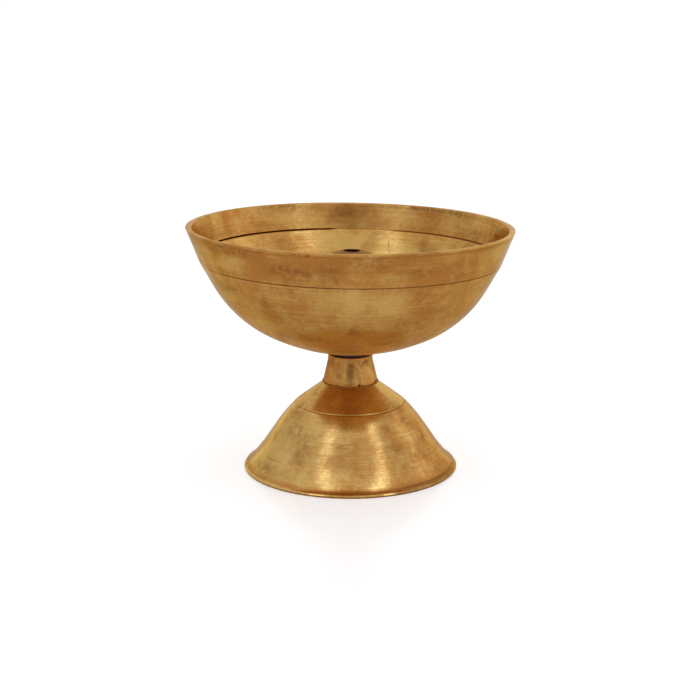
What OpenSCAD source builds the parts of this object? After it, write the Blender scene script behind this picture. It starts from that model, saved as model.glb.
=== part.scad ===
// Standing oil lamp in cast brass: a deep open bowl that screws into a neck on a hollow
// conical foot, with a loose bell-shaped wick holder standing in the middle of the bowl.
// Frame: +Z up, origin at the centre of the ring that the foot stands on.

/* [Bowl] */
// Outside diameter at the rim
bowl_d = 102; // [98:1:108]
// Height of the bowl from its underside to the rim
bowl_h = 39.6; // [38:0.2:44]
// Wall thickness
bowl_wall = 1.9; // [1.5:0.1:2.4]
// Radius of the round underside
under_r = 60; // [58:0.5:62]
// Radius of the side where it turns up from the underside
side_r = 37.5; // [36:0.5:39]
// Slope at which the underside hands over to the side, in degrees
under_slope = 26.5; // [24:0.5:28]
// Slope of the straight stretch below the outer groove, in degrees
side_slope = 61; // [60:0.5:63]
// Drop from the rim to the turned groove on the outside
outer_groove_drop = 10.5; // [9:0.1:11.5]
// Drop from the rim to the turned groove on the inside
inner_groove_drop = 8.4; // [7:0.1:10]

/* [Neck] */
// Diameter at the top of the neck
neck_top_d = 14.1; // [13.5:0.1:15]
// Diameter at the bottom of the neck
neck_bottom_d = 17.2; // [16.4:0.1:18]
// Height of the neck between the foot and the washer
neck_h = 8.6; // [8.2:0.1:12]
// Thickness of the washer that the bowl is tightened on
washer_t = 1.2; // [0.8:0.1:1.6]

/* [Foot] */
// Outside diameter at the lip
foot_d = 68; // [66:1:72]
// Height of the foot, up to the flat that carries the neck
foot_h = 28.2; // [27:0.2:30]
// Wall thickness
foot_wall = 1.9; // [1.5:0.1:2.3]
// Diameter of the turned groove round the shoulder
shoulder_d = 34.8; // [33:0.2:36]
// Drop from the flat to that groove
shoulder_drop = 7; // [6:0.1:8]

/* [Screw] */
// Thread diameter on the bowl's spigot
thread_d = 8; // [7:0.5:8.5]
// Thread pitch
thread_pitch = 1.25; // [1:0.25:1.25]
// Turns that free the bowl
thread_turns = 6; // [4:1:6]

/* [Wick holder] */
// Diameter of the hole that the wick comes up through
wick_hole_d = 5.2; // [4:0.1:6]
// Drop from the rim of the bowl to the top of the holder
holder_drop = 7.8; // [6:0.1:10]
// Diameter of the holder's shoulder
holder_top_d = 15.2; // [14.4:0.1:15.4]
// Diameter of the ring that the holder stands on
holder_base_d = 26; // [25:0.5:28]
// Wall thickness
holder_wall = 1.5; // [1.2:0.1:1.8]

/* [Hidden] */
$fn = 180;

brass = [0.72, 0.52, 0.24];
pale_brass = [0.78, 0.62, 0.34];
fibre = [0.08, 0.06, 0.05];
solder = [0.62, 0.58, 0.50];

// Running clearance round the thread, and the gap left round the tenons that are brazed in
run_gap = 0.1;
braze_gap = 0.05;

// Heights of the faces where the pieces meet
neck_top_z = foot_h + neck_h;
seat_z = neck_top_z + washer_t;
spot_face = 0.2; // how deep the underside is faced off where the washer bears
bowl_z = seat_z - spot_face;
floor_z = seat_z + bowl_wall;
rim_z = bowl_z + bowl_h;

// ---- Outlines -------------------------------------------------------------------------

// Points on a circle; angles are in degrees from straight down, turning outwards and up
function arc(c, r, from, to, n) =
    [for (i = [0:n]) let (a = from + (to - from) * i / n) c + r * [sin(a), -cos(a)]];

// Points on a quadratic curve from a to c that leaves and arrives towards b
function curve(a, b, c, n) =
    [for (i = [0:n]) let (t = i / n) (1 - t) * (1 - t) * a + 2 * t * (1 - t) * b + t * t * c];

function unit(v) = v / norm(v);
function reversed(p) = [for (i = [len(p) - 1:-1:0]) p[i]];

// Direction of an outline at point i, and the same outline moved to its left by d
function heading(p, i) = unit(p[min(i + 1, len(p) - 1)] - p[max(i - 1, 0)]);
function moved_left(p, d) =
    [for (i = [0:len(p) - 1]) let (h = heading(p, i)) p[i] + d * [-h.y, h.x]];

// A shallow V turned into an outline at p: slope is the outline's, depth is to its left
function groove(p, slope, width, depth) =
    let (along = [cos(slope), sin(slope)], inward = [-sin(slope), cos(slope)])
    [p - along * width / 2, p + inward * depth, p + along * width / 2];

// ---- Bowl -----------------------------------------------------------------------------

groove_w = 0.5;
groove_depth = 0.25;
rim_edge = 0.25; // the rim's two edges are broken by this much
under_c = [0, bowl_z + under_r];
side_c = under_c + (under_r - side_r) * [sin(under_slope), -cos(under_slope)];
tenon_r = 2.6;
rim_r = bowl_d / 2;

// Radius of the straight stretch of the side at height z, the wall moved in by inset
function side_at(z, inset) =
    let (end = side_c + (side_r - inset) * [sin(side_slope), -cos(side_slope)])
    end.x + (z - end.y) / tan(side_slope);

// Height of the bowl's inside floor at radius r
function floor_at(r) = under_c.y - sqrt(pow(under_r - bowl_wall, 2) - r * r);

module bowl() {
    outer_z = rim_z - outer_groove_drop;
    inner_z = rim_z - inner_groove_drop;
    outer_crease = [side_at(outer_z, 0), outer_z];
    inner_crease = [side_at(inner_z, bowl_wall), inner_z];
    band_slope = atan2(outer_groove_drop, rim_r - outer_crease.x);
    flat_slope = acos((under_r - spot_face) / under_r);
    inner_flat = acos((under_r - bowl_wall - spot_face) / (under_r - bowl_wall));
    outside = concat(
        [[tenon_r, seat_z]],
        arc(under_c, under_r, flat_slope, under_slope, 16),
        arc(side_c, side_r, under_slope + 2, side_slope, 18),
        groove(outer_crease, (side_slope + band_slope) / 2, groove_w, groove_depth),
        [[rim_r, rim_z - rim_edge], [rim_r - rim_edge, rim_z]]);
    inside = concat(
        [[tenon_r, floor_z]],
        arc(under_c, under_r - bowl_wall, inner_flat, under_slope, 16),
        arc(side_c, side_r - bowl_wall, under_slope + 2, side_slope, 18),
        groove(inner_crease, (side_slope + band_slope) / 2, groove_w, -groove_depth),
        [[rim_r - bowl_wall, rim_z - rim_edge], [rim_r - bowl_wall + rim_edge, rim_z]]);
    color(brass) rotate_extrude() polygon(concat(outside, reversed(inside)));
}

// ---- Spigot: riveted through the bowl's floor, threaded below ---------------------------

head_r = 4.6;
head_h = 1.3;
thread_depth = 0.7;
spigot_z = neck_top_z - thread_turns * thread_pitch; // its lower end

module bowl_spigot() {
    r = thread_d / 2;
    root_r = r - thread_depth;
    top = neck_top_z - 0.2; // the ridges end where the plain relief begins
    ridges = [for (i = [0:thread_turns - 2])
        let (z = top - i * thread_pitch)
        each [[root_r, z], [root_r, z - thread_pitch * 0.1], [r, z - thread_pitch * 0.5],
              [r, z - thread_pitch * 0.6]]];
    end_z = top - (thread_turns - 1) * thread_pitch;
    head = arc([0, floor_z + head_h - 9], 9, 180 - asin(3.6 / 9), 180, 6);
    color(pale_brass) rotate_extrude() polygon(concat(
        reversed(head), [[head_r, floor_z + 0.5], [head_r, floor_z]],
        [[tenon_r, floor_z], [tenon_r, seat_z], [r, seat_z], [r, seat_z - 0.6],
         [root_r, seat_z - 0.9]],
        ridges, [[root_r, end_z], [root_r, spigot_z + 0.3], [root_r - 0.3, spigot_z],
        [0, spigot_z]]));
}

// Ring of solder that keeps the oil in round the spigot's head
module spigot_solder() {
    out_r = head_r + 0.9;
    flat_r = under_r * sin(acos((under_r - spot_face) / under_r));
    lift = 0.04; // the solder rests on the floor with this much to spare
    color(solder) rotate_extrude() polygon([[head_r, floor_z + lift], [flat_r, floor_z + lift],
        [out_r, floor_at(out_r) + lift], [out_r - 0.2, floor_at(out_r) + 0.12], [head_r, floor_z + 0.6]]);
}

// ---- Washer ---------------------------------------------------------------------------

module seat_washer() {
    washer_r = neck_top_d / 2 - 0.65;
    color(fibre) translate([0, 0, neck_top_z]) difference() {
        cylinder(h = washer_t, r = washer_r);
        translate([0, 0, -1]) cylinder(h = washer_t + 2, r = thread_d / 2 + run_gap);
    }
}

// ---- Neck -----------------------------------------------------------------------------

neck_straight = 1.8; // height of the upright stretch below the neck's top
neck_tenon_r = 5;
neck_tenon_h = 3;
drill_r = thread_d / 2 - thread_depth - 0.1;

module neck_collar() {
    top_r = neck_top_d / 2;
    bottom_r = neck_bottom_d / 2;
    bore_r = thread_d / 2 + run_gap;
    bore_z = spigot_z - 0.6;
    color(brass) rotate_extrude() polygon([[bore_r, neck_top_z], [top_r - 0.2, neck_top_z],
        [top_r, neck_top_z - 0.2], [top_r, neck_top_z - neck_straight],
        [bottom_r, foot_h + 0.4], [bottom_r, foot_h], [neck_tenon_r, foot_h],
        [neck_tenon_r, foot_h - neck_tenon_h], [drill_r, foot_h - neck_tenon_h],
        [drill_r, bore_z], [bore_r, bore_z]]);
}

// ---- Foot -----------------------------------------------------------------------------

land_r = neck_bottom_d / 2 - 0.4; // the neck's lower edge stands out over the crown
shoulder = [shoulder_d / 2, foot_h - shoulder_drop];
shoulder_slope = atan2(shoulder_drop, land_r - shoulder.x);
lip_h = 1.05; // height of the lip's edge
lip_round = 0.4; // radius at the top of that edge, where the flare runs into it
lip_flat = 3.0; // width of the ring that stands on the table

// Radius of the crown at height z, above the shoulder groove
function crown_at(z) = land_r + (foot_h - z) * (shoulder.x - land_r) / shoulder_drop;

module foot_shell() {
    foot_r = foot_d / 2;
    lip_c = [foot_r - lip_round, lip_h - lip_round];
    lip_end = lip_c + lip_round * [sin(160), -cos(160)];
    skirt_low = [foot_r - 6.2, 7.5];
    skirt_high = [foot_r - 10.6, 14];
    skirt = curve(skirt_high, [foot_r - 13.15, 17.75], shoulder + [0.33, -0.32], 12);
    crown = [[land_r, foot_h]];
    outside = concat([[foot_r - 0.25, 0], [foot_r, 0.25]], arc(lip_c, lip_round, 90, 150, 6),
        curve(lip_end, [foot_r - 1.95, 1.7], skirt_low, 12), skirt,
        groove(shoulder, shoulder_slope, groove_w, groove_depth), crown);
    wall = moved_left(concat([skirt_low], skirt, [shoulder]), foot_wall);
    inner_land = [land_r - 0.7, foot_h - foot_wall];
    hole_r = neck_tenon_r + braze_gap;
    color(brass) rotate_extrude() polygon(concat(
        [[foot_r - lip_flat, 0]], outside, [[hole_r, foot_h], [hole_r, inner_land.y]],
        [inner_land], reversed(wall)));
}

// ---- Braze: a bead round the foot of the neck, and a fillet round its tenon -------------

module neck_braze() {
    bead_r = neck_bottom_d / 2 + 0.15;
    under = foot_h - foot_wall;
    color(pale_brass) rotate_extrude() polygon([[land_r, foot_h], [bead_r, foot_h],
        [bead_r + 0.2, foot_h - 0.25], [crown_at(foot_h - 0.5), foot_h - 0.5]]);
    color(pale_brass) rotate_extrude() polygon([[neck_tenon_r, under],
        [neck_tenon_r + 1.6, under], [neck_tenon_r, foot_h - neck_tenon_h]]);
}

// ---- Wick holder: a hollow bell that stands on the bowl's floor -------------------------

module wick_holder() {
    top_z = rim_z - holder_drop;
    base_r = holder_base_d / 2;
    base_z = floor_at(base_r) + 0.05;
    hole_r = wick_hole_d / 2;
    top_r = holder_top_d / 2;
    hole_length = 4;
    dome_r = 16;
    dome_in_r = dome_r - holder_wall;
    dome_c = [0, top_z - sqrt(dome_r * dome_r - hole_r * hole_r)];
    dome_edge = asin((top_r - 0.9) / dome_r); // where the dome rounds over into the side
    round_r = 0.9 / (1 - sin(dome_edge));
    round_c = dome_c + (dome_r - round_r) * [sin(dome_edge), cos(dome_edge)];
    side = concat(curve([base_r - 0.5, base_z + 1.6], [8.4, base_z + 4.7], [7.7, top_z - 11.6], 12),
        [[top_r, round_c.y]]);
    top = concat(arc(round_c, round_r, 90 + 15, 180 - dome_edge - 15, 4),
        arc(dome_c, dome_r, 180 - dome_edge, 180 - asin(hole_r / dome_r), 6));
    ceiling = arc(dome_c, dome_in_r, 180 - asin((top_r - holder_wall - 0.4) / dome_in_r),
        180 - asin((hole_r + 1.4) / dome_in_r), 3);
    color(brass) difference() {
        rotate_extrude() polygon(concat(
            [[base_r, base_z], [base_r, base_z + 1.2]], side, top,
            [[hole_r, top_z - hole_length], [hole_r + 1.4, top_z - hole_length]],
            reversed(ceiling), reversed(moved_left(side, holder_wall)),
            [[base_r - 1.6, base_z]]));
        for (a = [45:90:315]) rotate([0, 0, a]) feed_slot(base_z, base_r);
    }
}

// Arched gap in the holder's foot that lets the oil in
module feed_slot(base_z, base_r) {
    slot_r = 2;
    translate([base_r / 2, -slot_r, base_z - 1]) cube([base_r, 2 * slot_r, 2.2]);
    translate([base_r / 2, 0, base_z + 1.2]) rotate([0, 90, 0]) cylinder(h = base_r, r = slot_r);
}

foot_shell();
neck_collar();
neck_braze();
seat_washer();
bowl();
bowl_spigot();
spigot_solder();
wick_holder();
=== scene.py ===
import math

import bmesh
import bpy
import numpy as np
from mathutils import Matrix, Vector


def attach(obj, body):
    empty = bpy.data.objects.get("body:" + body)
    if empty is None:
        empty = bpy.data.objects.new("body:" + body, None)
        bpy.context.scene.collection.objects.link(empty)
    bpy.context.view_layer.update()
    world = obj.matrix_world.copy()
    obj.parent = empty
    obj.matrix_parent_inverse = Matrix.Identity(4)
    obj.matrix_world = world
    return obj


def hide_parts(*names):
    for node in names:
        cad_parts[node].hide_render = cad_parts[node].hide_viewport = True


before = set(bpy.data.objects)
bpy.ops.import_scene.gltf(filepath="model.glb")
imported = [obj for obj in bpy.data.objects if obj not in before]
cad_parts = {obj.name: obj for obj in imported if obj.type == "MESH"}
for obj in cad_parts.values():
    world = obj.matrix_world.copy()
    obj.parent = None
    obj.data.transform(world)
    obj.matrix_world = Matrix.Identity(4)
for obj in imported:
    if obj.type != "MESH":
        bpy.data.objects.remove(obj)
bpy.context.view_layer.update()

MM = 0.001
TURN = 2 * math.pi
SEED = 41
LEAN = 0.75  # degrees that the bowl and the wick holder lean towards +X


# ---- Outlines: lists of (radius, height) in millimetres, walked so that metal is on the left ----

def arc(centre, radius, start, end, step=0.6):
    """Points on a circle; degrees from straight down, turning outwards and up."""
    count = max(2, int(abs(math.radians(end - start)) * abs(radius) / step))
    angles = np.radians(np.linspace(start, end, count + 1))
    return [(centre[0] + radius * math.sin(a), centre[1] - radius * math.cos(a)) for a in angles]


def line(a, b, step=0.7):
    count = max(1, int(math.dist(a, b) / step))
    return [(a[0] + (b[0] - a[0]) * t, a[1] + (b[1] - a[1]) * t) for t in np.linspace(0, 1, count + 1)]


def curve(a, b, c, step=0.4):
    """A quadratic curve from a to c, pulled towards b."""
    count = max(3, int((math.dist(a, b) + math.dist(b, c)) / step))
    t = np.linspace(0, 1, count + 1)[:, None]
    a, b, c = (np.array(p, float) for p in (a, b, c))
    return [tuple(p) for p in (1 - t) ** 2 * a + 2 * t * (1 - t) * b + t * t * c]


def joined(*runs):
    """Runs of points as one outline, without the points that repeat."""
    out = []
    for run in runs:
        for p in run:
            if not out or math.dist(p, out[-1]) > 1e-4:
                out.append((float(p[0]), float(p[1])))
    return out


def eased(points, radius, sharp=25, steps=4):
    """The outline with each corner sharper than `sharp` degrees rounded off."""
    pts = [np.array(p) for p in points]
    out = [pts[0]]
    for before, here, after in zip(pts, pts[1:], pts[2:]):
        u, v = before - here, after - here
        lu, lv = np.linalg.norm(u), np.linalg.norm(v)
        turn = 180 - math.degrees(math.acos(np.clip(u @ v / (lu * lv), -1, 1)))
        if turn < sharp:
            out.append(here)
            continue
        cut = min(radius, 0.45 * lu, 0.45 * lv)
        a, c = here + u / lu * cut, here + v / lv * cut
        for t in np.linspace(0, 1, steps + 1):
            out.append((1 - t) ** 2 * a + 2 * t * (1 - t) * here + t * t * c)
    out.append(pts[-1])
    return [tuple(p) for p in out]


def dense_near(points, spots, reach=0.8, step=0.06):
    """Adds points to the outline within `reach` of each spot."""
    out = [points[0]]
    for a, b in zip(points, points[1:]):
        middle = ((a[0] + b[0]) / 2, (a[1] + b[1]) / 2)
        near = any(math.dist(middle, s) < reach + math.dist(a, b) / 2 for s in spots)
        out += line(a, b, step)[1:] if near else [b]
    return out


# ---- Turned meshes ------------------------------------------------------------------------------

def smooth_step(x, low, high):
    t = np.clip((x - low) / (high - low), 0, 1)
    return t * t * (3 - 2 * t)


def waves(theta, count, seed, first=1):
    """A wavy function of the angle that closes on itself, within about -1 to 1."""
    rng = np.random.default_rng(SEED + seed)
    total = np.zeros_like(theta)
    for k in range(first, first + count):
        total += rng.normal() * np.cos(k * theta + rng.uniform(0, TURN)) / (k - first + 1) ** 0.6
    return total / math.sqrt(count)


def patch(theta, z, angle, height, reach, tall):
    """1 at a place on a turned surface, fading over `reach` degrees round it and `tall` mm of height."""
    turn = (np.degrees(theta) - angle + 180) % 360 - 180
    return np.exp(-(turn / reach) ** 2 - ((z - height) / tall) ** 2)


def patches(theta, z, places):
    """Several patches added up; each place is (angle, height, reach, tall, strength)."""
    return sum(strength * patch(theta, z, *place) for *place, strength in places)


def around(theta, start, end, soft=4.0):
    """1 between two angles, counted in degrees from start round to end, with soft ends."""
    middle, half = (start + end) / 2, (end - start) / 2
    turn = np.abs((np.degrees(theta) - middle + 180) % 360 - 180)
    return smooth_step(half - turn, -soft, soft)


def at(radius, angle, height):
    """A point given by its radius, its angle in degrees and its height, in millimetres."""
    return (radius * math.cos(math.radians(angle)), radius * math.sin(math.radians(angle)), height)


def turned(name, outline, segments, shape, marks=None, closed=True):
    """Sweeps an outline about Z. shape(r, z, theta, s) returns moved x, y, z. marks(r, z, theta, s) returns
    a dict of numbers for the material, one per vertex. s is the length along the outline in millimetres."""
    pts = np.array(outline, float)
    n = len(pts)
    s = np.concatenate([[0], np.cumsum(np.linalg.norm(np.diff(pts, axis=0), axis=1))])
    theta = np.linspace(0, TURN, segments, endpoint=False)
    r, th = np.meshgrid(pts[:, 0], theta, indexing="ij")
    z, _ = np.meshgrid(pts[:, 1], theta, indexing="ij")
    ss, _ = np.meshgrid(s, theta, indexing="ij")
    co = np.stack(shape(r, z, th, ss), -1).reshape(-1, 3) * MM
    lathe = np.stack([20 * np.cos(th), 20 * np.sin(th), ss], -1).reshape(-1, 3)
    numbers = marks(r, z, th, ss) if marks else {}
    extra = {key: np.broadcast_to(values, r.shape).reshape(-1) for key, values in numbers.items()}

    index = np.arange(n * segments).reshape(n, segments)
    rows = [(i, i + 1) for i in range(n - 1)] + ([(n - 1, 0)] if closed else [])
    faces = []
    for i, j in rows:
        a, b = index[i], index[j]
        faces.append(np.stack([a, np.roll(a, -1), np.roll(b, -1), b], -1))
    faces = np.concatenate(faces).astype(np.int32)
    mesh = bpy.data.meshes.new(name)
    mesh.vertices.add(len(co))
    mesh.vertices.foreach_set("co", co.ravel())
    mesh.loops.add(faces.size)
    mesh.loops.foreach_set("vertex_index", faces.ravel())
    mesh.polygons.add(len(faces))
    mesh.polygons.foreach_set("loop_start", np.arange(0, faces.size, 4))
    mesh.update(calc_edges=True)
    for key, values in extra.items():
        mesh.attributes.new(key, "FLOAT", "POINT").data.foreach_set("value", values.astype(np.float32))
    mesh.attributes.new("lathe", "FLOAT_VECTOR", "POINT").data.foreach_set(
        "vector", lathe.astype(np.float32).ravel())
    if not closed:  # the outline starts and ends on the axis, so its end rings close to points
        bm = bmesh.new()
        bm.from_mesh(mesh)
        bmesh.ops.remove_doubles(bm, verts=bm.verts, dist=1e-7)
        bm.to_mesh(mesh)
        bm.free()
    mesh.update()
    obj = bpy.data.objects.new(name, mesh)
    bpy.context.scene.collection.objects.link(obj)
    mesh.shade_smooth()
    mesh.set_sharp_from_angle(angle=math.radians(75))
    return obj


def outward(obj):
    """Turns every face of a closed mesh outwards."""
    bm = bmesh.new()
    bm.from_mesh(obj.data)
    bmesh.ops.recalc_face_normals(bm, faces=bm.faces)
    bm.to_mesh(obj.data)
    bm.free()


# ---- Materials ----------------------------------------------------------------------------------

class Nodes:
    """Short calls for building one material's node tree."""

    def __init__(self, name):
        self.material = bpy.data.materials.new(name)
        self.material.use_nodes = True
        self.tree = self.material.node_tree
        self.tree.nodes.clear()
        self.out = self.tree.nodes.new("ShaderNodeOutputMaterial")

    def add(self, kind, inputs=None, **props):
        n = self.tree.nodes.new("ShaderNode" + kind)
        for key, value in props.items():
            setattr(n, key, value)
        for key, value in (inputs or {}).items():
            self.put(n.inputs[key], value)
        return n

    def put(self, socket, value):
        if isinstance(value, bpy.types.NodeSocket):
            self.tree.links.new(value, socket)
        else:
            socket.default_value = value

    def maths(self, operation, a, b=0.0, clamp=False):
        return self.add("Math", {0: a, 1: b}, operation=operation, use_clamp=clamp).outputs[0]

    def scaled(self, vector, scale):
        return self.add("VectorMath", {0: vector, 1: scale}, operation="MULTIPLY").outputs[0]

    def noise(self, vector, scale, detail=3.0, rough=0.55, distortion=0.0):
        n = self.add("TexNoise", {"Vector": vector, "Scale": scale, "Detail": detail, "Roughness": rough,
                                  "Distortion": distortion})
        return n.outputs["Fac"]

    def span(self, value, low, high, to_low=0.0, to_high=1.0):
        """value from low..high to to_low..to_high, held at the ends."""
        return self.add("MapRange", {"Value": value, "From Min": low, "From Max": high, "To Min": to_low,
                                     "To Max": to_high}).outputs[0]

    def mix(self, factor, a, b):
        n = self.add("Mix", data_type="RGBA")
        self.put(n.inputs[0], factor)
        self.put(n.inputs[6], a)
        self.put(n.inputs[7], b)
        return n.outputs[2]

    def attribute(self, name, output="Fac"):
        return self.add("Attribute", attribute_name=name).outputs[output]

    def stroke(self, place, a, b, width):
        """1 along the straight stroke from a to b, falling to 0 at its edges."""
        a, along = Vector(a), Vector(b) - Vector(a)
        from_a = self.add("VectorMath", {0: place, 1: tuple(a)}, operation="SUBTRACT").outputs[0]
        share = self.add("VectorMath", {0: from_a, 1: tuple(along / along.length_squared)},
                         operation="DOT_PRODUCT").outputs["Value"]
        share = self.maths("ADD", share, 0.0, clamp=True)
        nearest = self.add("VectorMath", {0: tuple(along), "Scale": share}, operation="SCALE").outputs[0]
        gap = self.add("VectorMath", {0: from_a, 1: nearest}, operation="DISTANCE").outputs["Value"]
        return self.span(gap, width / 2, width / 8)


def rgb(r, g, b):
    """An sRGB colour, 0 to 255 and over 10, as linear."""
    return tuple(((c / 255 + 0.055) / 1.055) ** 2.4 for c in (r, g, b)) + (1.0,)


CLEAN = rgb(220, 176, 96)
BROWN = rgb(188, 124, 54)
STAIN_AND_SHADE = rgb(132, 80, 36)
DEEP = rgb(84, 46, 20)
EDGE_TINT = (0.86, 0.68, 0.40, 1.0)  # brass seen along its surface


def brass(name, clean=CLEAN, tarnish=0.5, rough=(0.2, 0.34), lines=1.0, seed=0, strokes=()):
    """Turned brass under a mottled brown tarnish, with fine rings left by the lathe. Its attributes darken
    it (grime and painted shade), polish it (wear), dull it (matt) and spot it (spots, with some painted
    shade); the tarnish amounts from the marks also carry painted highlights and painted shade. rough is
    its roughness where it is clean and where it is brown. Each stroke is (from, to, width, strength,
    colour)."""
    k = Nodes(name)
    place = k.scaled(k.add("TexCoord").outputs["Object"], (1000, 1000, 1000))
    shift = (seed * 37.1, seed * 11.7, seed * 53.3)
    mm = k.add("VectorMath", {0: place, 1: shift}, operation="ADD").outputs[0]
    lathe = k.attribute("lathe", "Vector")
    dirt_and_shade, wear = k.attribute("dirt_and_shade"), k.attribute("wear")
    # Patterns from about 30 mm across down to 1 mm, and two that run round with the lathe
    broad = k.noise(mm, 0.035, 2.0, 0.5, 0.3)
    blotch = k.noise(mm, 0.13, 4.0, 0.58, 0.3)
    speck = k.noise(mm, 0.8, 3.0, 0.65)
    rings = k.noise(k.scaled(lathe, (0.06, 0.06, 2.6)), 1.0, 3.0, 0.6)
    scratch = k.noise(k.scaled(lathe, (0.35, 0.35, 6.0)), 1.0, 2.0, 0.5)
    # How brown the tarnish is, with grime, painted shade and painted highlights from the marks added in
    film_and_light = k.maths("ADD", tarnish, k.maths("SUBTRACT", dirt_and_shade, wear))
    for layer, weight in ((broad, 1.3), (blotch, 2.1), (rings, 1.2 * lines), (speck, 1.0)):
        film_and_light = k.maths("ADD", film_and_light, k.maths("MULTIPLY", k.maths("SUBTRACT", layer, 0.5), weight))
    film_and_light = k.maths("ADD", film_and_light, 0.0, clamp=True)
    colour = k.mix(film_and_light, clean, BROWN)
    cloud = k.span(k.noise(mm, 0.10, 4.0, 0.62, 0.4), 0.54, 0.74)
    broken = k.span(k.noise(mm, 0.5, 4.0, 0.7, 0.4), 0.36, 0.60)
    spots = k.maths("MULTIPLY", k.attribute("stain_and_shade"), broken)
    colour = k.mix(k.maths("MAXIMUM", k.maths("MULTIPLY", cloud, 0.45), spots, clamp=True), colour, STAIN_AND_SHADE)
    pits = k.span(k.noise(mm, 1.7, 2.0, 0.5), 0.66, 0.74)
    # Deep brown from pits, and from heavy grime and painted shade
    dark = k.maths("MAXIMUM", k.maths("MULTIPLY", pits, 0.45), k.span(dirt_and_shade, 0.5, 1.2))
    colour = k.mix(dark, colour, DEEP)
    worn = k.span(k.noise(mm, 0.9, 3.0, 0.7), 0.35, 0.6, 0.35, 1.0)
    cuts = None
    for start, end, width, strength, ink in strokes:
        mark = k.maths("MULTIPLY", k.stroke(place, start, end, width), strength)
        mark = k.maths("MULTIPLY", mark, worn)
        colour = k.mix(mark, colour, ink)
        cuts = mark if cuts is None else k.maths("MAXIMUM", cuts, mark)
    roughness = k.span(film_and_light, 0.0, 1.0, rough[0], rough[1])
    uneven = k.maths("MULTIPLY", k.maths("SUBTRACT", scratch, 0.5), 0.12)
    roughness = k.maths("ADD", roughness, uneven)
    roughness = k.maths("ADD", roughness, k.maths("MULTIPLY", k.attribute("matt"), 0.2))
    roughness = k.maths("SUBTRACT", roughness, k.maths("MULTIPLY", wear, 0.22))
    fine = k.maths("MULTIPLY", scratch, 0.35 * lines)
    height = k.maths("ADD", k.maths("MULTIPLY", rings, lines), fine)
    height = k.maths("SUBTRACT", height, k.maths("MULTIPLY", pits, 0.5))
    height = k.maths("ADD", height, k.maths("MULTIPLY", blotch, 0.8))
    if cuts:
        height = k.maths("SUBTRACT", height, cuts)
    bump = k.add("Bump", {"Height": height, "Strength": 0.35, "Distance": 0.00003})
    shader = k.add("BsdfPrincipled", {
        "Base Color": colour, "Metallic": 1.0, "Roughness": k.maths("MAXIMUM", roughness, 0.06),
        "Normal": bump.outputs[0], "Specular Tint": EDGE_TINT,
        "Anisotropic": 0.4, "Anisotropic Rotation": 0.25,
        "Coat Weight": 0.20, "Coat IOR": 1.5, "Coat Roughness": 0.2,
        "Tangent": k.add("Tangent", direction_type="RADIAL", axis="Z").outputs[0]})
    k.put(k.out.inputs[0], shader.outputs[0])
    return k.material


BOWL_BRASS = brass("bowl_brass", tarnish=0.62, rough=(0.17, 0.30), seed=1, strokes=(
    (at(44.2, 72.9, 65.9), at(41.8, 71.9, 61.0), 0.5, 0.8, STAIN_AND_SHADE),
    (at(50.75, -108.1, 76.9), at(50.75, -107.8, 77.1), 0.7, 0.8, DEEP),
    (at(50.75, -106.3, 77.1), at(50.75, -106.1, 77.2), 0.5, 0.6, DEEP),
    (at(50.70, -103.9, 76.8), at(50.70, -103.2, 76.9), 0.8, 0.8, DEEP)))
PALE = rgb(222, 181, 106)
FOOT_BRASS = brass("foot_brass", clean=PALE, tarnish=0.42, rough=(0.16, 0.28), seed=2, strokes=(
    (at(28.8, -155.2, 6.2), at(28.6, -146.5, 6.4), 0.9, 0.5, STAIN_AND_SHADE),
    (at(28.6, -146.5, 6.4), at(28.6, -138.6, 6.5), 0.8, 0.4, STAIN_AND_SHADE),
    (at(23.8, -97.6, 13.4), at(23.5, -89.0, 13.9), 1.0, 0.5, STAIN_AND_SHADE),
    (at(24.1, -99.7, 12.8), at(24.2, -91.0, 12.7), 0.9, 0.45, STAIN_AND_SHADE),
    (at(28.8, -57.0, 6.2), at(29.1, -49.3, 5.9), 0.8, 0.4, STAIN_AND_SHADE),
    (at(29.1, -49.3, 5.9), at(29.2, -42.0, 5.8), 0.9, 0.45, STAIN_AND_SHADE)))
# The wide dark stroke down the front of the neck, the first below, is a painted reflection
NECK_BRASS = brass("neck_brass", tarnish=0.80, rough=(0.24, 0.36), lines=0.5, seed=3, strokes=(
    (at(7.05, -91.0, 37.0), at(7.7, -90.8, 31.5), 3.0, 0.5, STAIN_AND_SHADE),
    (at(7.05, -109.9, 36.6), at(7.6, -108.3, 32.3), 0.5, 0.6, STAIN_AND_SHADE),
    (at(7.1, -74.5, 35.0), at(7.5, -66.3, 33.0), 1.0, 0.7, CLEAN),
    (at(8.6, -71.6, 28.3), at(8.6, -70.0, 28.9), 0.9, 0.8, DEEP),
    (at(8.6, -21.0, 28.2), at(8.6, -17.0, 28.9), 1.0, 0.9, DEEP)))
BRIGHT = rgb(224, 190, 124)
STUD_BRASS = brass("stud_brass", clean=BRIGHT, tarnish=0.3, rough=(0.22, 0.35), lines=0.3, seed=4)
HOLDER_BRASS = brass("holder_brass", tarnish=0.75, rough=(0.22, 0.36), seed=5)
BRAZE_BRASS = brass("braze_brass", tarnish=0.7, rough=(0.28, 0.42), lines=0.1, seed=6)


def leather():
    k = Nodes("oiled_leather")
    mm = k.scaled(k.add("TexCoord").outputs["Object"], (1000, 1000, 1000))
    grain = k.noise(mm, 3.0, 5.0, 0.6)
    cells = k.add("TexVoronoi", {"Vector": mm, "Scale": 2.2}, feature="DISTANCE_TO_EDGE")
    colour = k.mix(k.span(grain, 0.35, 0.65), rgb(26, 18, 13), rgb(58, 40, 28))
    creases = k.span(cells.outputs["Distance"], 0.0, 0.12)
    height = k.maths("ADD", creases, k.maths("MULTIPLY", grain, 0.5))
    bump = k.add("Bump", {"Height": height, "Strength": 0.5, "Distance": 0.00005})
    shader = k.add("BsdfPrincipled", {
        "Base Color": colour, "Roughness": k.span(grain, 0.3, 0.7, 0.5, 0.7), "Normal": bump.outputs[0]})
    k.put(k.out.inputs[0], shader.outputs[0])
    return k.material


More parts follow.
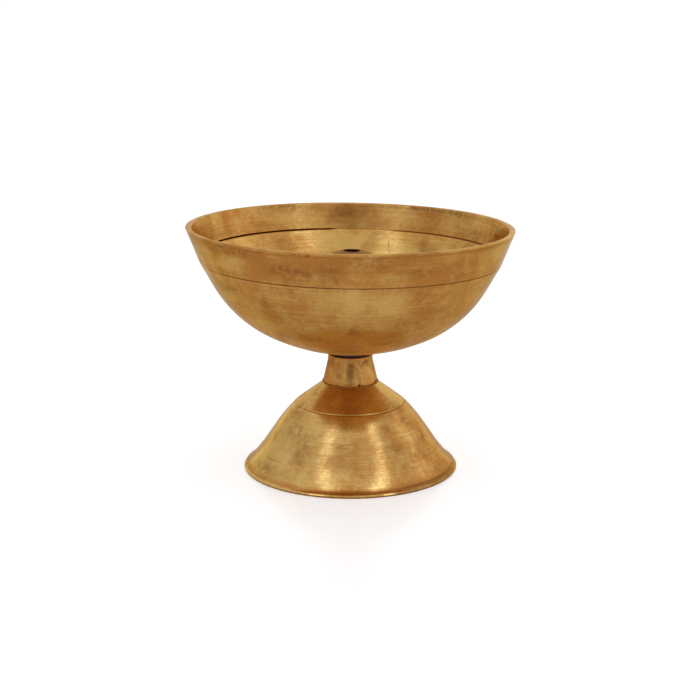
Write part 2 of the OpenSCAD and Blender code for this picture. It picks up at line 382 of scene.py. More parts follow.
def soft_solder():
    k = Nodes("soft_solder")
    mm = k.scaled(k.add("TexCoord").outputs["Object"], (1000, 1000, 1000))
    frost = k.noise(mm, 1.3, 5.0, 0.65)
    colour = k.mix(k.span(frost, 0.35, 0.65), rgb(176, 170, 158), rgb(128, 116, 98))
    bump = k.add("Bump", {"Height": frost, "Strength": 0.5, "Distance": 0.00006})
    shader = k.add("BsdfPrincipled", {
        "Base Color": colour, "Metallic": 1.0, "Roughness": k.span(frost, 0.3, 0.7, 0.32, 0.52),
        "Normal": bump.outputs[0]})
    k.put(k.out.inputs[0], shader.outputs[0])
    return k.material


def finish_piece(obj, body, node, material):
    """Gives a piece its material and its body. It takes a node's place, and that node is hidden."""
    obj.data.materials.append(material)
    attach(obj, body)
    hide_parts(node)


# ---- Bowl ---------------------------------------------------------------------------------------

RIM_R = 51.0
RIM_Z = 77.4
SEAT_Z = 38.0             # where the washer bears on the underside
WALL = 1.9
FLOOR_Z = SEAT_Z + WALL
RIVET_R = 2.6             # where the stud passes through the bowl
UNDER_C = (0.0, 97.8)     # the round underside
UNDER_R = 60.0
SIDE_C = (10.04, 77.66)   # the round side that it runs into
SIDE_R = 37.5
UNDER_SLOPE = 26.5        # degrees where the underside hands over to the side
SIDE_SLOPE = 61           # and where the side becomes straight
SIDE_END = (42.84, 59.48)
SIDE_END_IN = (41.18, 60.40)
OUTER_GROOVE = (46.93, 66.9)
INNER_GROOVE = (45.96, 69.0)
BOWL_OUT = (0.93, -0.36)  # the way that the straight side faces


def bowl_outline():
    outside = joined(
        line((RIVET_R, SEAT_Z), (4.9, SEAT_Z)),
        arc(UNDER_C, UNDER_R, 4.68, UNDER_SLOPE),
        arc(SIDE_C, SIDE_R, UNDER_SLOPE, SIDE_SLOPE),
        line(SIDE_END, OUTER_GROOVE),
        line(OUTER_GROOVE, (RIM_R - 0.12, RIM_Z - 0.32)))
    lip = [(RIM_R, RIM_Z - 0.1), (RIM_R - 0.28, RIM_Z), (RIM_R - WALL + 0.35, RIM_Z),
           (RIM_R - WALL, RIM_Z - 0.22)]
    inside = joined(
        line((RIM_R - WALL - 0.12, RIM_Z - 0.55), INNER_GROOVE),
        line(INNER_GROOVE, SIDE_END_IN),
        arc(SIDE_C, SIDE_R - WALL, SIDE_SLOPE, UNDER_SLOPE),
        arc(UNDER_C, UNDER_R - WALL, UNDER_SLOPE, 4.76),
        line((4.8, FLOOR_Z), (RIVET_R, FLOOR_Z)))
    whole = joined(outside, lip, inside)
    return dense_near(eased(whole, 0.12), [OUTER_GROOVE, INNER_GROOVE])


def near_z(z, centre, half):
    """1 at the centre of a groove, falling to 0 at its edges."""
    return np.clip(1 - np.abs(z - centre) / half, 0, 1)


def bowl_sides(r, z, s):
    """Where the outer groove and the inner groove lie, from 0 to 1."""
    half_way = s < s.max() * 0.5
    return near_z(z, OUTER_GROOVE[1], 0.22) * half_way, near_z(z, INNER_GROOVE[1], 0.3) * ~half_way


def outer_depth(theta):
    """The outer groove, which is rubbed away to a trace on both sides."""
    return 0.35 + 0.65 * np.maximum(around(theta, -158, -20, 8), around(theta, 20, 160, 8))


def inner_depth(theta):
    """The inner groove, cut by hand: deep on one side, almost lost at the back, light on the other side."""
    deep, light = around(theta, 97, 205, 3), around(theta, -30, 71, 3)
    return 0.05 + 0.27 * deep + 0.12 * light + 0.03 * waves(theta, 3, 2)


def bowl_shape(r, z, theta, s):
    outer, inner = bowl_sides(r, z, s)
    cut = outer * (0.14 + 0.05 * waves(theta, 4, 1)) * outer_depth(theta) - inner * inner_depth(theta)
    r = r - cut * BOWL_OUT[0]
    z = z - cut * BOWL_OUT[1]
    body = smooth_step(r, 8, 22)  # the seat in the middle stays true
    r = r + body * (0.06 * waves(theta, 3, 3, 2) + 0.03 * waves(theta + 0.06 * s, 6, 4, 4))
    z = z + body * smooth_step(z, 60, 77) * 0.12 * waves(theta, 4, 5, 2)
    x, y = r * np.cos(theta), r * np.sin(theta)
    return x, y, z - body * x * math.tan(math.radians(LEAN))


# Places on the bowl as (angle, height, reach, tall, strength); stains spot it, tarnish places brown or
# clean it, and the cleaned places near its left and right sides are painted highlights
OUTER_STAINS = (
    (-20, 52, 9, 3.0, 1.0), (-144, 62.8, 7, 1.5, 0.8), (-134, 75.3, 13, 1.7, 0.7),
    (-110, 71.5, 9, 2.6, 0.8), (-84, 74.8, 8, 2.2, 0.6), (-96, 72, 4, 3.0, 0.5),
    (-66, 71.5, 9, 1.6, 0.5), (-110, 49, 11, 1.4, 0.6), (-70, 47.5, 12, 1.2, 0.6),
    (-122, 57, 9, 3.5, 0.35), (-52, 57, 12, 3.0, 0.35), (-93, 43.5, 10, 1.2, 0.7),
    (180, 77.3, 24, 0.8, 0.6), (0, 77.3, 24, 0.8, 0.9), (-156, 60, 6, 5.0, 0.4),
    (60, 60, 15, 6.0, 0.6), (140, 52, 12, 5.0, 0.6), (100, 73, 12, 2.5, 0.5))
INNER_STAINS = (
    (62, 76.8, 20, 0.9, 0.7), (42, 76.3, 14, 1.4, 0.5), (12, 73.5, 7, 3.2, 0.9),
    (165, 75, 6, 3.0, 0.6), (93, 74.5, 9, 2.2, 0.6), (112, 75.5, 7, 2.0, 0.4),
    (120, 76.8, 10, 0.7, 0.6), (30, 71.5, 10, 1.5, 0.5), (-60, 70, 14, 4.0, 0.6),
    (-120, 66, 12, 4.0, 0.5))
# The strongly cleaned places near the bowl's left and right sides are painted highlights
OUTER_FILM_AND_HIGHLIGHTS = (
    (-91, 62, 5, 6, -0.45), (-76, 63, 5, 4, -0.4), (-148, 70, 4, 6, -0.5), (-137, 71.5, 6, 2.2, -0.5),
    (-157, 67, 3, 7, -0.9), (-29, 74, 4, 3, -0.9), (-16, 69, 6, 8, -0.6), (-62, 56, 14, 5, 0.3),
    (-118, 46, 16, 4, -0.3), (-88, 44, 14, 3, -0.2))
# The cleaned place at 98 degrees, on the far inner wall, is a painted highlight; the others brown the
# tarnish
INNER_FILM_AND_HIGHLIGHT = (
    (114, 63, 8, 5, 0.45), (98, 66, 9, 4, -0.35), (45, 67.5, 13, 4, 0.15), (60, 67, 7, 3, 0.25),
    (76, 65, 5, 3, 0.15))


def bowl_marks(r, z, theta, s):
    outer, inner = bowl_sides(r, z, s)
    inside = s > s.max() * 0.5
    edge = np.clip(1 - np.abs(z - RIM_Z) / 0.5, 0, 1)
    band = smooth_step(z, OUTER_GROOVE[1] - 0.2, OUTER_GROOVE[1] + 0.3) * ~inside
    # Painted shade along the inner groove, darker where it is cut deeper
    line_in = np.clip(inner * 2, 0, 1) * np.clip(inner_depth(theta) * 4.5, 0, 1.3)
    brim = smooth_step(z, RIM_Z - 1.3, RIM_Z - 0.6) * around(theta, -172, -8, 4)
    above_line = smooth_step(z, INNER_GROOVE[1] - 1.0, INNER_GROOVE[1] + 1.0)
    # Tarnish amount, with the painted highlights of the tarnish places inside and out
    film_and_light = np.where(inside, patches(theta, z, INNER_FILM_AND_HIGHLIGHT) - 0.30 + 0.30 * above_line,
                    patches(theta, z, OUTER_FILM_AND_HIGHLIGHTS) + 0.22 * band + 0.9 * brim)
    stain_and_shade = np.where(inside, patches(theta, z, INNER_STAINS),
                     patches(theta, z, OUTER_STAINS) + 0.8 * brim)
    # The outer groove and the inner groove are painted darker: painted shade in the grooves
    return {"dirt_and_shade": np.clip(outer * 2, 0, 1) * outer_depth(theta) + 1.1 * line_in + film_and_light,
            "wear": 0.1 * edge * inside,
            "matt": np.where(inside, 0.3, smooth_step(54 - z, 0, 8)),
            "stain_and_shade": np.clip(stain_and_shade, 0, 1)}


bowl = turned("bowl_cast", bowl_outline(), 512, shape=bowl_shape, marks=bowl_marks)
finish_piece(bowl, "bowl", "bowl", BOWL_BRASS)


# ---- Foot ---------------------------------------------------------------------------------------

FOOT_R = 34.0
FOOT_TOP = 28.2
CROWN_UNDER = 26.3     # height of the crown's underside, round the hole for the neck
RING_IN = 31.0         # inner radius of the ring that stands on the table
SHOULDER = (17.4, 21.2)
FAINT_Z = 7.3          # a second, very faint line round the skirt
LAND_R = 8.2
TENON_R = 5.0          # the neck's tenon, through the crown
CROWN_OUT = (0.65, 0.75)
SKIN_SHARE = 0.52      # share of the outline, from its start, that is the outside


def foot_outline():
    skirt_low, skirt_high = (27.8, 7.5), (23.4, 14.0)
    bend = (20.85, 17.75)
    outside = joined(
        line((RING_IN, 0), (FOOT_R - 0.25, 0)), [(FOOT_R, 0.25), (FOOT_R, 0.55)],
        line((FOOT_R, 0.58), (33.7, 1.0), 0.1), [(33.6, 1.05)],
        curve((33.5, 1.1), (32.05, 1.7), skirt_low, 0.25),
        line(skirt_low, skirt_high),
        curve(skirt_high, bend, SHOULDER),
        line(SHOULDER, (LAND_R, FOOT_TOP)),
        line((LAND_R, FOOT_TOP), (TENON_R + 0.05, FOOT_TOP)))
    inside = joined(
        line((TENON_R + 0.05, FOOT_TOP), (TENON_R + 0.05, CROWN_UNDER)),
        line((TENON_R + 0.05, CROWN_UNDER), (7.5, CROWN_UNDER)),
        line((7.5, CROWN_UNDER), (16.05, 19.85)),
        curve((16.05, 19.85), (19.35, 16.6), (21.8, 12.9)),
        line((21.8, 12.9), (26.2, 6.44)),
        line((26.2, 6.44), (RING_IN, 0)))
    return dense_near(eased(joined(outside, inside)[:-1], 0.1), [SHOULDER, (28.0, 7.2), (33.7, 1.0)])


def foot_shape(r, z, theta, s):
    skin = s < s.max() * SKIN_SHARE
    cut = near_z(z, SHOULDER[1], 0.22) * skin * (0.18 + 0.08 * waves(theta, 4, 11))
    faint = near_z(z, FAINT_Z, 0.14) * skin * np.clip(0.03 + 0.05 * waves(theta, 3, 12), 0, 0.1)
    r = r - cut * CROWN_OUT[0] - faint * 0.8
    z = z - cut * CROWN_OUT[1] - faint * 0.5
    body = smooth_step(z, 1.5, 6) * smooth_step(FOOT_TOP - z, 0.3, 4)
    r = r + body * (0.05 * waves(theta, 4, 13, 2) + 0.03 * waves(theta + 0.1 * s, 6, 14, 4))
    return r * np.cos(theta), r * np.sin(theta), z


FOOT_STAINS = (
    (-152, 20.5, 12, 2.2, 0.7), (-139, 15.5, 9, 2.0, 0.7), (-34, 17.5, 8, 3.0, 0.6),
    (-28, 21.5, 12, 1.5, 0.5), (-40, 9, 12, 3.0, 0.5), (-22, 12, 10, 4.0, 0.5),
    (-158, 13, 9, 4.0, 0.4), (-100, 9.5, 10, 1.6, 0.35), (-150, 3.6, 14, 1.4, 0.6),
    (-28, 3.4, 12, 1.2, 0.6), (-58, 11, 9, 2.5, 0.45), (-125, 12, 7, 2.0, 0.4),
    (-90, 22.6, 14, 1.0, 0.5), (60, 14, 14, 4.0, 0.6), (150, 9, 12, 3.0, 0.6))


def foot_marks(r, z, theta, s):
    skin = s < s.max() * SKIN_SHARE
    groove = near_z(z, SHOULDER[1], 0.22) * skin
    faint = near_z(z, FAINT_Z, 0.2) * skin
    edge = smooth_step(r, FOOT_R - 0.7, FOOT_R - 0.3)
    corner = np.exp(-((r - 32.8) / 0.7) ** 2) * (z < 2.5)
    crown = smooth_step(z, SHOULDER[1], SHOULDER[1] + 1.0) * skin
    low_edge = smooth_step(r, FOOT_R - 0.4, FOOT_R - 0.1) * smooth_step(0.9 - z, 0.2, 0.4)
    # Painted light and shade: the crown is painted darker with paler left and right parts, and the skirt is
    # painted darker on its right and paler on its left
    painted_light_crown_sides = around(theta, -178, -136, 6) + around(theta, -30, 5, 6)
    right, left = around(theta, -62, -8, 8), around(theta, -178, -112, 8)
    film_and_light = crown * (0.20 - 0.65 * painted_light_crown_sides) + (1 - crown) * skin * (0.2 * right - 0.2 * left)
    # The shoulder groove, the faint line and the corner above the lip are painted darker: painted shade
    return {"dirt_and_shade": groove * 0.7 + faint * 0.3 + corner * 0.7 + ~skin * 0.35 + edge * 0.5 + film_and_light,
            "wear": edge * 0.8 * (z > 0.5), "matt": 0.5 * crown,
            "stain_and_shade": np.clip((patches(theta, z, FOOT_STAINS) + 0.9 * low_edge) * skin, 0, 1)}


foot = turned("foot_cast", foot_outline(), 448, shape=foot_shape, marks=foot_marks)
finish_piece(foot, "foot", "foot_shell", FOOT_BRASS)


# ---- Screw --------------------------------------------------------------------------------------

PITCH = 1.25
THREAD_R = 4.0
THREAD_DEPTH = 0.7
THREAD_TOP = 37.0      # the stud is plain above this
NECK_TOP = 36.8
SPIGOT_Z = 29.3
HEAD_R = 4.6


def thread(theta, z, low, high):
    """Depth of a right-handed V thread below its crest, 0 to 1, fading out at both ends."""
    turn = (z / PITCH - theta / TURN) % 1.0
    ridge = np.clip(1.15 * (1 - 2 * np.abs(turn - 0.5)), 0, 1)
    fade = smooth_step(z, low, low + 1.0) * smooth_step(high - z, 0, 0.8)
    return 1 - ridge * fade


def spigot_shape(r, z, theta, s):
    cut_r = THREAD_R - THREAD_DEPTH * thread(theta, z, SPIGOT_Z + 0.3, THREAD_TOP)
    r = np.where(z < THREAD_TOP, np.minimum(r, cut_r), r)
    head = z > FLOOR_Z - 0.01
    r = r + head * (r > 3.0) * 0.12 * waves(theta, 5, 21)
    z = z + head * (z > 40.3) * 0.06 * waves(theta, 3, 22) * np.clip(r / 4, 0, 1)
    return r * np.cos(theta), r * np.sin(theta), z


def spigot_marks(r, z, theta, s):
    cut = (z < THREAD_TOP) * (z > SPIGOT_Z + 0.35)
    return {"dirt_and_shade": cut * 0.9 * thread(theta, z, SPIGOT_Z + 0.3, THREAD_TOP), "wear": cut * 0.2}


def spigot_outline():
    stud = joined(
        [(1e-7, SPIGOT_Z)], line((1e-7, SPIGOT_Z), (2.95, SPIGOT_Z)),
        line((3.25, SPIGOT_Z + 0.35), (THREAD_R, SPIGOT_Z + 0.4)),
        line((THREAD_R, SPIGOT_Z + 0.4), (THREAD_R, SEAT_Z), 0.05))
    rivet = joined(
        line((THREAD_R, SEAT_Z), (RIVET_R, SEAT_Z)), line((RIVET_R, SEAT_Z), (RIVET_R, FLOOR_Z)),
        line((RIVET_R, FLOOR_Z), (HEAD_R, FLOOR_Z)), [(HEAD_R, 40.4)],
        arc((0, 32.2), 9.0, 180 - 23.6, 180, 0.3))
    return eased(joined(stud, rivet), 0.15, sharp=60)


spigot = turned("spigot_stud", spigot_outline(), 96, closed=False, shape=spigot_shape, marks=spigot_marks)
finish_piece(spigot, "bowl", "bowl_spigot", STUD_BRASS)


# ---- Solder round the rivet head -----------------------------------------------------------------

def solder_outline():
    slope = curve((5.5, 39.99), (4.85, 40.08), (4.62, 40.5), 0.1)
    return eased(joined(line((4.55, 39.9), (4.9, 39.9)), [(5.5, 39.97)], slope, [(4.55, 40.5)]), 0.05)


def solder_shape(r, z, theta, s):
    r = r + smooth_step(r, 4.7, 5.5) * 0.10 * waves(theta, 6, 31)
    return r * np.cos(theta), r * np.sin(theta), z + 0.05 * waves(theta, 5, 32) * (z > 40.1)


solder_ring = turned("solder_fillet", solder_outline(), 192, shape=solder_shape)
finish_piece(solder_ring, "bowl", "spigot_solder", soft_solder())


# ---- Washer ---------------------------------------------------------------------------------------

WASHER_IN = 4.12
WASHER_R = 6.4


def washer_outline():
    low, high = NECK_TOP + 0.03, SEAT_Z - 0.02
    return eased(joined(line((WASHER_IN, low), (WASHER_R, low)), line((WASHER_R, low), (WASHER_R, high)),
                        line((WASHER_R, high), (WASHER_IN, high))), 0.18)


def washer_shape(r, z, theta, s):
    r = r + (r > 5) * 0.10 * waves(theta, 7, 41)
    return r * np.cos(theta), r * np.sin(theta), z


washer = turned("seat_washer_cut", washer_outline(), 192, shape=washer_shape)
finish_piece(washer, "washer", "seat_washer", leather())


# ---- Neck and its braze ----------------------------------------------------------------------------

BORE_R = 4.1
BORE_Z = 28.7          # bottom of the tapped bore
DRILL_R = 3.2          # the pilot hole below it
TENON_Z = 25.2
NECK_LOW_R = 8.6
NECK_HIGH_R = 7.05
# The neck's lower edge swells at each lobe and is notched at each nick: (angle, reach, size)
LOBES = ((-95, 18, 0.28), (-146, 20, 0.16), (-46, 17, 0.20), (60, 25, 0.2), (135, 20, 0.25))
NICKS = ((-71.6, 3.0, 0.42), (-118, 4.0, 0.22), (-19.4, 4.5, 0.55), (25, 5.0, 0.4), (100, 6.0, 0.4),
         (170, 4.0, 0.5))


def neck_shape(r, z, theta, s):
    bore = (np.abs(r - BORE_R) < 0.011) * (z > BORE_Z + 0.1) * (z < NECK_TOP - 0.05)
    r = r - bore * 0.88 * THREAD_DEPTH * thread(theta, z, BORE_Z + 0.1, NECK_TOP + 0.6)
    skin = r > 6.5
    low = np.exp(-((z - FOOT_TOP) / 0.45) ** 2) * skin
    top = np.exp(-((z - NECK_TOP) / 0.4) ** 2) * skin
    lobes = sum(size * patch(theta, 0, angle, 0, reach, 1) for angle, reach, size in LOBES)
    r = r + skin * 0.05 * waves(theta + 0.3 * s, 6, 52, 2)
    r = r + low * (0.08 * waves(theta, 9, 51, 2) + lobes)
    r = r + top * 0.05 * waves(theta, 8, 54, 3)
    lift = np.clip(0.10 * waves(theta, 8, 53, 3), 0, 0.2)
    for angle, reach, depth in NICKS:
        lift = lift + depth * patch(theta, 0, angle, 0, reach, 1)
    z = z + low * (lift - 0.6 * lobes)
    return r * np.cos(theta), r * np.sin(theta), z


# Stains on the neck; the tall places at -168 and -10 degrees darken its left and right edges as painted
# shade
NECK_STAINS_AND_SHADE = (
    (-137, 35.0, 24, 1.6, 0.9), (-48, 34.9, 22, 1.6, 1.0), (-88, 32.5, 14, 2.2, 0.5),
    (-168, 33, 14, 5.0, 0.8), (-10, 33, 14, 5.0, 0.8), (-120, 31, 16, 2.0, 0.5),
    (-60, 30.5, 14, 2.0, 0.4), (60, 33, 30, 3.0, 0.7), (150, 32, 25, 3.0, 0.7))


def neck_marks(r, z, theta, s):
    skin = r > 6.5
    low = np.exp(-((z - FOOT_TOP) / 0.35) ** 2) * skin
    high = np.exp(-((z - NECK_TOP) / 0.3) ** 2) * skin
    return {"dirt_and_shade": 0.35 * low + 0.5 * high + 0.5 * (r < 4.5),
            "stain_and_shade": np.clip(patches(theta, z, NECK_STAINS_AND_SHADE) * skin, 0, 1)}


def neck_outline():
    outside = joined(
        line((DRILL_R, TENON_Z), (TENON_R, TENON_Z)), line((TENON_R, TENON_Z), (TENON_R, FOOT_TOP)),
        line((TENON_R, FOOT_TOP), (NECK_LOW_R, FOOT_TOP), 0.2),
        line((NECK_LOW_R, FOOT_TOP), (NECK_LOW_R, FOOT_TOP + 0.4), 0.1),
        line((NECK_LOW_R, FOOT_TOP + 0.4), (NECK_HIGH_R, NECK_TOP - 1.8), 0.2),
        line((NECK_HIGH_R, NECK_TOP - 1.8), (NECK_HIGH_R, NECK_TOP - 0.2), 0.2))
    inside = joined(
        line((NECK_HIGH_R - 0.2, NECK_TOP), (BORE_R + 0.15, NECK_TOP), 0.2),
        line((BORE_R, NECK_TOP - 0.15), (BORE_R, BORE_Z), 0.05),
        line((BORE_R, BORE_Z), (DRILL_R, BORE_Z)), line((DRILL_R, BORE_Z), (DRILL_R, TENON_Z)))
    return eased(joined(outside, inside)[:-1], 0.2, sharp=35)


neck = turned("neck_collar_turned", neck_outline(), 288, shape=neck_shape, marks=neck_marks)
finish_piece(neck, "foot", "neck_collar", NECK_BRASS)


def bead_outline():
    return eased(joined(
        [(8.15, FOOT_TOP - 0.02), (8.8, 27.55)],
        curve((8.8, 27.55), (9.1, 27.75), (9.0, 28.05), 0.08),
        curve((9.0, 28.05), (8.85, 28.3), (8.5, 28.25), 0.08)), 0.05)


def bead_shape(r, z, theta, s):
    out = r > 8.3
    r = r + out * (0.14 * waves(theta, 10, 61, 3) - 0.08)
    z = z + out * (z < 28.1) * -0.10 * np.abs(waves(theta, 9, 62, 4))
    return r * np.cos(theta), r * np.sin(theta), z


def bead_marks(r, z, theta, s):
    # The braze is painted dark brown all round: partly its own colour, partly painted shade under the
    # neck's lower edge
    return {"dirt_and_shade": 0.75 + 0 * r, "stain_and_shade": 0.8 * (waves(theta, 10, 63, 3) > -0.2)}


def fillet_outline():
    high, tenon = CROWN_UNDER + 0.02, TENON_R - 0.02
    slope = curve((tenon, TENON_Z), (5.25, 26.05), (6.6, high), 0.1)
    return eased(joined(line((tenon, high), (tenon, TENON_Z), 0.1)[1:], slope), 0.05)[::-1]


def fillet_shape(r, z, theta, s):
    r = r + (r > 5.1) * 0.12 * waves(theta, 8, 71, 2)
    return r * np.cos(theta), r * np.sin(theta), z


bead = turned("braze_bead", bead_outline(), 300, shape=bead_shape, marks=bead_marks)
fillet = turned("braze_fillet", fillet_outline(), 200, shape=fillet_shape)
finish_piece(bead, "foot", "neck_braze", BRAZE_BRASS)
finish_piece(fillet, "foot", "neck_braze", BRAZE_BRASS)


# ---- Wick holder -----------------------------------------------------------------------------------

HOLDER_TOP = 69.6
HOLDER_BASE = 41.22
HOLE_R = 2.6
HOLE_LENGTH = 4
DOME_R = 16.0
BASE_R = 13.0
RING_R = 11.4          # inner radius of the ring that the holder stands on
SLOT_R = 2.0
SLOT_RISE = 1.2        # height of the middle of each slot's arch


def holder_outline():
    dome_c = (0.0, HOLDER_TOP - math.sqrt(DOME_R ** 2 - HOLE_R ** 2))
    edge = math.degrees(math.asin(6.7 / DOME_R))
    turn_r = 0.9 / (1 - math.sin(math.radians(edge)))
    turn_c = (dome_c[0] + (DOME_R - turn_r) * math.sin(math.radians(edge)),
              dome_c[1] + (DOME_R - turn_r) * math.cos(math.radians(edge)))
    side = joined(curve((12.5, HOLDER_BASE + 1.6), (8.4, HOLDER_BASE + 4.7), (7.7, 58.0)),
                  line((7.7, 58.0), (7.6, turn_c[1])))
    hole_edge = math.degrees(math.asin(HOLE_R / DOME_R))
    hole_low = HOLDER_TOP - HOLE_LENGTH
    outside = joined(
        line((RING_R, HOLDER_BASE), (BASE_R, HOLDER_BASE)),
        line((BASE_R, HOLDER_BASE), (BASE_R, HOLDER_BASE + 1.2)), side,
        arc(turn_c, turn_r, 90, 180 - edge, 0.15), arc(dome_c, DOME_R, 180 - edge, 180 - hole_edge),
        line((HOLE_R, HOLDER_TOP), (HOLE_R, hole_low)), [(4.0, hole_low)])
    inside = joined(line((4.0, hole_low), (4.0, 67.6)), line((4.0, 67.6), (6.0, 66.9)),
                    line((6.0, 66.9), (6.2, 58.0)),
                    curve((6.2, 58.0), (6.9, 45.2), (RING_R, HOLDER_BASE + 0.5)))
    return eased(joined(outside, inside), 0.14, sharp=30)


def holder_marks(r, z, theta, s):
    soot = np.exp(-((r - HOLE_R) / 1.3) ** 2) * (z > 64)
    hole = (r < HOLE_R + 0.05) * (z > 64)
    oil = np.exp(-((z - HOLDER_BASE) / 2.5) ** 2)
    dome = z > 66
    return {"dirt_and_shade": 0.35 * soot + 0.9 * hole + 0.35 * oil + 0.65 * dome,
            "stain_and_shade": 0.4 * soot + 0.6 * dome}


def holder_shape(r, z, theta, s):
    r = r + (z < 68) * 0.04 * waves(theta, 5, 81, 2)
    return r * np.cos(theta), r * np.sin(theta), z


def slot_cutter():
    """Two crossed bars, each arched like a feed slot, that cut the four slots."""
    bars = bmesh.new()
    low, middle = HOLDER_BASE - 1.0, HOLDER_BASE + SLOT_RISE
    arch = [(-SLOT_R, low), (SLOT_R, low)]
    arch += [(SLOT_R * math.cos(t), middle + SLOT_R * math.sin(t)) for t in np.linspace(0, math.pi, 25)]
    for angle in (45, 135):
        a = math.radians(angle)
        along, across = np.array([math.cos(a), math.sin(a)]), np.array([-math.sin(a), math.cos(a)])
        near, far = ([bars.verts.new([*((along * reach + across * w) * MM), h * MM]) for w, h in arch]
                     for reach in (-20, 20))
        for i in range(len(arch)):
            j = (i + 1) % len(arch)
            bars.faces.new((near[i], near[j], far[j], far[i]))
        bars.faces.new(near)
        bars.faces.new(far)
    bmesh.ops.recalc_face_normals(bars, faces=bars.faces)
    mesh = bpy.data.meshes.new("slot_cutter")
    bars.to_mesh(mesh)
    bars.free()
    obj = bpy.data.objects.new("slot_cutter", mesh)
    bpy.context.scene.collection.objects.link(obj)
    return obj


def cut_slots(obj):
    cutter = slot_cutter()
    cut = obj.modifiers.new("slots", "BOOLEAN")
    cut.operation = "DIFFERENCE"
    cut.solver = "EXACT"
    cut.use_self = True
    cut.object = cutter
    mesh = bpy.data.meshes.new_from_object(obj.evaluated_get(bpy.context.evaluated_depsgraph_get()))
    obj.modifiers.clear()
    obj.data = mesh
    bpy.data.objects.remove(cutter)


def stand_askew(mesh):
    """Tips the holder with the bowl that it stands in."""
    tilt = math.radians(LEAN)
    lift = 0.1 * MM
    co = np.empty(len(mesh.vertices) * 3)
    mesh.vertices.foreach_get("co", co)
    co = co.reshape(-1, 3)
    height = co[:, 2] - HOLDER_BASE * MM
    co[:, 0], co[:, 2] = (co[:, 0] + height * math.sin(tilt) + lift,
                          co[:, 2] - co[:, 0] * math.sin(tilt) + lift)
    mesh.vertices.foreach_set("co", co.ravel())
    mesh.update()
    mesh.set_sharp_from_angle(angle=math.radians(60))


holder = turned("wick_holder_bell", holder_outline(), 256, shape=holder_shape, marks=holder_marks)
outward(holder)
cut_slots(holder)
stand_askew(holder.data)
finish_piece(holder, "wick_holder", "wick_holder", HOLDER_BRASS)


# ---- Studio ------------------------------------------------------------------------------------------

def plane(name, size, z):
    """A level square on the stage."""
    mesh = bpy.data.meshes.new(name)
    h = size / 2
    mesh.from_pydata([(-h, -h, z), (h, -h, z), (h, h, z), (-h, h, z)], [], [(0, 1, 2, 3)])
    obj = bpy.data.objects.new(name, mesh)
    bpy.context.scene.collection.objects.link(obj)
    return obj


def pale(name, level, glow, surface):
    """A grey that also glows a little; surface holds the shader's other inputs."""
    k = Nodes(name)
    shader = k.add("BsdfPrincipled", {
        "Base Color": (level, level, level, 1), "Emission Color": (1, 1, 1, 1),
        "Emission Strength": glow, **surface})
    k.put(k.out.inputs[0], shader.outputs[0])
    return k.material


# The camera sees the floor; the lamp mirrors a greyer card just below it
STAGE_SIZE = 30.0
GLOSSY = {"Roughness": 0.6, "Coat Weight": 0.7, "Coat IOR": 1.7, "Coat Roughness": 0.2}
MATT = {"Roughness": 1.0, "Specular IOR Level": 0.0}
floor = plane("floor", STAGE_SIZE, 0.0)
floor.data.materials.append(pale("pale_floor", 0.80, 0.50, GLOSSY))
floor.visible_glossy = floor.visible_diffuse = floor.visible_shadow = False
card = plane("table_card", STAGE_SIZE, -0.0001)
card.data.materials.append(pale("grey_card", 0.50, 0.26, MATT))
card.visible_camera = card.visible_shadow = False


LAMP_MIDDLE = Vector((0, 0, 0.04))


def softbox(name, azimuth, elevation, distance, width, height, radiance, colour):
    """An area light aimed at the lamp. Azimuth 0 is above the camera, and 90 is on the right."""
    light = bpy.data.lights.new(name, "AREA")
    light.shape = "RECTANGLE"
    light.size, light.size_y, light.energy = width, height, radiance * math.pi * width * height
    light.color = colour
    obj = bpy.data.objects.new(name, light)
    a, e = math.radians(azimuth), math.radians(elevation)
    away = Vector((math.sin(a) * math.cos(e), -math.cos(a) * math.cos(e), math.sin(e)))
    obj.location = LAMP_MIDDLE + away * distance
    obj.rotation_euler = away.to_track_quat("Z", "Y").to_euler()
    obj.visible_camera = False
    bpy.context.scene.collection.objects.link(obj)


DAYLIGHT = (0.78, 1.0, 1.4)
WHITE = (1.0, 1.0, 1.0)
softbox("softbox_left", -43, 54, 0.9, 0.20, 0.58, 0.78, DAYLIGHT)
softbox("softbox_right", 49, 54, 0.9, 0.17, 0.58, 1.15, DAYLIGHT)
softbox("side_panel", 108, 30, 0.9, 0.40, 0.26, 0.25, WHITE)

# Brightness of the room by height: 0 is level with the lamp or lower, and 1 straight up
ROOM = ((0.0, 1.1), (0.06, 1.0), (0.12, 0.90), (0.26, 0.85), (0.47, 0.80), (0.80, 0.76), (1.0, 1.0))


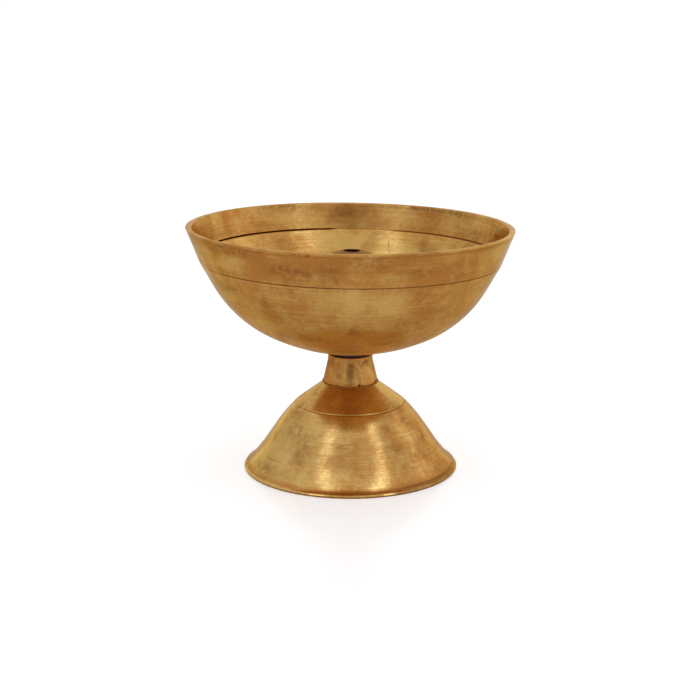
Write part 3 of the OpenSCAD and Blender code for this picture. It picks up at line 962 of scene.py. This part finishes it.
def studio_world():
    """A pale room, dimmer on the left and towards the camera, with a dark upright band behind the camera
    that fades out towards the ceiling and the horizon."""
    world = bpy.data.worlds.new("studio")
    world.use_nodes = True
    tree = world.node_tree
    tree.nodes.clear()

    def maths(operation, a, b, clamp=False):
        n = tree.nodes.new("ShaderNodeMath")
        n.operation, n.use_clamp = operation, clamp
        for socket, value in zip(n.inputs, (a, b)):
            if isinstance(value, bpy.types.NodeSocket):
                tree.links.new(value, socket)
            else:
                socket.default_value = value
        return n.outputs[0]

    out = tree.nodes.new("ShaderNodeOutputWorld")
    background = tree.nodes.new("ShaderNodeBackground")
    coord = tree.nodes.new("ShaderNodeTexCoord")
    split = tree.nodes.new("ShaderNodeSeparateXYZ")
    ramp = tree.nodes.new("ShaderNodeValToRGB")
    tree.links.new(coord.outputs["Generated"], split.inputs[0])
    x, y, z = split.outputs
    tree.links.new(z, ramp.inputs[0])
    stops = ramp.color_ramp.elements
    while len(stops) < len(ROOM):
        stops.new(0.5)
    for stop, (height, level) in zip(stops, ROOM):
        stop.position = height
        stop.color = (level, level, level, 1)

    ahead = maths("MULTIPLY", y, -3.0, True)
    sideways = maths("DIVIDE", maths("ABSOLUTE", x, 0.0), 0.34)
    across = maths("SUBTRACT", 1.0, maths("MULTIPLY", sideways, sideways), True)
    dark = maths("MULTIPLY", ahead, maths("ADD", maths("MULTIPLY", across, 0.62), 0.14))
    left = maths("MULTIPLY", maths("MULTIPLY", x, -1.2, True), 0.22)
    below_ceiling = maths("DIVIDE", maths("SUBTRACT", 0.80, z), 0.5, True)
    above_horizon = maths("MULTIPLY", maths("SUBTRACT", z, 0.04), 16.0, True)
    where = maths("MULTIPLY", below_ceiling, above_horizon)
    dimming = maths("MULTIPLY", maths("ADD", dark, left), where)
    tree.links.new(ramp.outputs[0], background.inputs[0])
    tree.links.new(maths("SUBTRACT", 1.0, dimming), background.inputs[1])
    tree.links.new(background.outputs[0], out.inputs[0])
    return world


bpy.context.scene.world = studio_world()

camera_data = bpy.data.cameras.new("camera")
camera_data.lens = 76.53
camera_data.sensor_width = 36.0
camera_data.clip_start = 0.01
camera = bpy.data.objects.new("camera", camera_data)
camera.location = (-0.00011, -0.4571, 0.1503)
camera.rotation_euler = (math.radians(90 - 13.83), 0, 0)
bpy.context.scene.collection.objects.link(camera)
bpy.context.scene.camera = camera
bpy.context.scene.view_settings.view_transform = "Standard"
bpy.context.scene.view_settings.look = "None"
